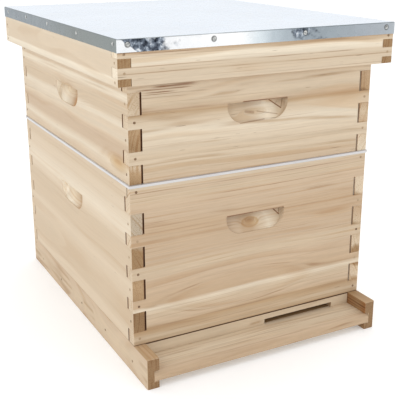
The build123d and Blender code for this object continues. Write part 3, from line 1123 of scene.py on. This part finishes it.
# (share of the radius, share of the height) from the middle of a head to its underside.
HEAD_PROFILE = (
    (0.0, 1.0), (0.35, 0.97), (0.68, 0.80), (0.9, 0.45), (1.0, 0.05), (1.0, -0.8), (0.5, -1.4),
)


def fill_heads(shape, nails):
    """Clout nail heads: low domes with a rim, each turned and tilted a little."""
    chance = random.Random(8)
    for centre, out in nails:
        tilt = Vector([chance.uniform(-0.05, 0.05) for _ in range(3)])
        turn = (out + tilt).to_track_quat("Z", "Y")
        size = HEAD_RADIUS * chance.uniform(0.94, 1.0)
        base = centre - out * HEAD_SINK
        rings = []
        for share, rise in HEAD_PROFILE:
            reach = size * share
            ring = []
            for n in range(HEAD_SIDES if share else 1):
                angle = 2 * math.pi * n / HEAD_SIDES
                spot = (math.cos(angle) * reach, math.sin(angle) * reach, rise * HEAD_HEIGHT)
                ring.append(shape.verts.new(base + turn @ Vector(spot)))
            rings.append(ring)
        tip = rings[0][0]
        for n in range(HEAD_SIDES):
            shape.faces.new((tip, rings[1][n], rings[1][(n + 1) % HEAD_SIDES]))
        for first, second in zip(rings[1:], rings[2:]):
            join_rings(shape, first, second)
        shape.faces.new(rings[-1])


def build_cover_sheet(zinc):
    """The folded sheet and its nail heads."""
    nails = sheet_nails()
    sheet = new_piece(
        "folded_cover_sheet", zinc, "outer_cover", "galvanized_sheet", ["cover_sheet"],
        fill_sheet, *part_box("cover_sheet"), nails,
    )
    smooth(sheet)
    heads = new_piece(
        "sheet_nail_heads", head_material(), "outer_cover", "nail_steel", ["cover_sheet_nails"],
        fill_heads, nails,
    )
    smooth(heads, 50)


FOUNDATION_BOW = 1.2 * MM
THINNEST_BAR = 5 * MM


def fill_foundation(shape, low, high):
    """A wax sheet hanging in its frame, never quite flat."""
    rows, columns = 14, 30
    centre = (low.x + high.x) / 2
    half = (high.x - low.x) / 2
    for side in (-1, 1):
        grid = {}
        for a in range(columns + 1):
            for b in range(rows + 1):
                y = low.y + (high.y - low.y) * a / columns
                z = low.z + (high.z - low.z) * b / rows
                slack = math.sin(math.pi * a / columns) * math.sin(math.pi * b / rows)
                bow = slack * FOUNDATION_BOW * noise.noise(Vector((centre * 40, y * 9, z * 9)))
                grid[a, b] = shape.verts.new((centre + side * half + bow, y, z))
        fill_grid(shape, grid, columns, rows)
    edges = [edge for edge in shape.edges if len(edge.link_faces) == 1]
    bmesh.ops.bridge_loops(shape, edges=edges)


def build_frames(bar_wood, end_wood, wax):
    """Every hanging frame as bars, end bars and wax, so that each has its own grain."""
    for node in sorted(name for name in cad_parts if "_frame_" in name):
        low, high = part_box(node)
        bars, ends, sheet = [], [], None
        for part in solids(node):
            least, most = extent(part[0])
            size = most - least
            if size.x < THINNEST_BAR:
                sheet = (least, most)
            elif size.z > 0.6 * (high.z - low.z):
                ends.append(part)
            else:
                bars.append(part)
        given = (node, "frame_wood", [node], fill_solids, bars)
        ease_edges(new_piece(f"{node}_bars", bar_wood, *given))
        given = (node, "frame_wood", [], fill_solids, ends)
        ease_edges(new_piece(f"{node}_end_bars", end_wood, *given))
        name = f"{node}_foundation"
        smooth(new_piece(name, wax, node, "foundation_wax", [], fill_foundation, *sheet))


# The studio


def add_floor():
    material, tree, point, _ = new_material("studio_floor")
    cloud = tree.noise(point, 0.8)
    colour = tree.ramp(cloud, [(0.3, 236, 237, 238), (0.7, 240, 241, 242)])
    glow = {"Emission Color": (1.0, 1.0, 1.0, 1.0), "Emission Strength": 0.2}
    tree.surface(colour, 0.9, tree.bump(cloud, 0.1 * MM), **glow)
    mesh = bpy.data.meshes.new("studio_floor")
    shape = bmesh.new()
    bmesh.ops.create_grid(shape, x_segments=8, y_segments=8, size=30.0)
    shape.to_mesh(mesh)
    shape.free()
    mesh.materials.append(material)
    new_object("studio_floor", mesh)


def add_lights():
    """White light from all round, and two soft lamps: (name, place, size, power)."""
    world = bpy.data.worlds.new("studio")
    world.use_nodes = True
    tree = Tree(world.node_tree)
    background = tree.node("ShaderNodeBackground", {"Color": (1.0, 1.0, 1.0, 1.0)})
    tree.node("ShaderNodeOutputWorld", {"Surface": background.outputs[0]})
    bpy.context.scene.world = world

    low, high = cad_box
    middle = (low + high) / 2
    for name, offset, size, power in (
        ("key", (-2.2, -0.9, 1.6), 1.8, 8.0),
        ("top", (0.3, 0.4, 2.6), 2.4, 16.0),
    ):
        light = bpy.data.lights.new(name, "AREA")
        light.size = size
        light.energy = power
        lamp = new_object(name, light)
        lamp.location = middle + Vector(offset)
        lamp.rotation_euler = (-Vector(offset)).to_track_quat("-Z", "Y").to_euler()


def add_camera():
    """The photograph's view, from a fit of the hive's corners."""
    camera = bpy.data.cameras.new("camera")
    camera.lens = 70.58
    camera.shift_y = -0.05
    eye = new_object("camera", camera)
    eye.location = (-0.6036, -1.1968, 0.6257)
    eye.rotation_euler = (math.radians(90 - 17.27), 0.0, math.radians(-27.93))
    bpy.context.scene.camera = eye
    bpy.context.scene.view_settings.view_transform = "Standard"


def dress_small_parts():
    """Steel on the nails, plastic on the excluder, and eased edges on every wooden part."""
    steel, plastic = steel_material(), plastic_material()
    for name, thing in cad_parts.items():
        if name.endswith("_nails"):
            set_material(name, steel)
        elif name == "queen_excluder":
            set_material(name, plastic)
        elif "_frame_" not in name and name != "cover_sheet":
            ease_edges(thing)


dress_boxes()
dress_bottom()
dress_covers()
dress_small_parts()
build_cover_sheet(zinc_material())
frame_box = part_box("brood_frame_5")
bar_wood = wood("frame_bar_wood", frame_box, "Y", "X", plain_tones(71), 71, ends="tan")
end_wood = wood("frame_end_wood", frame_box, "Z", "Y", plain_tones(72), 72, ends="tan")
build_frames(bar_wood, end_wood, wax_material())
add_floor()
add_lights()
add_camera()
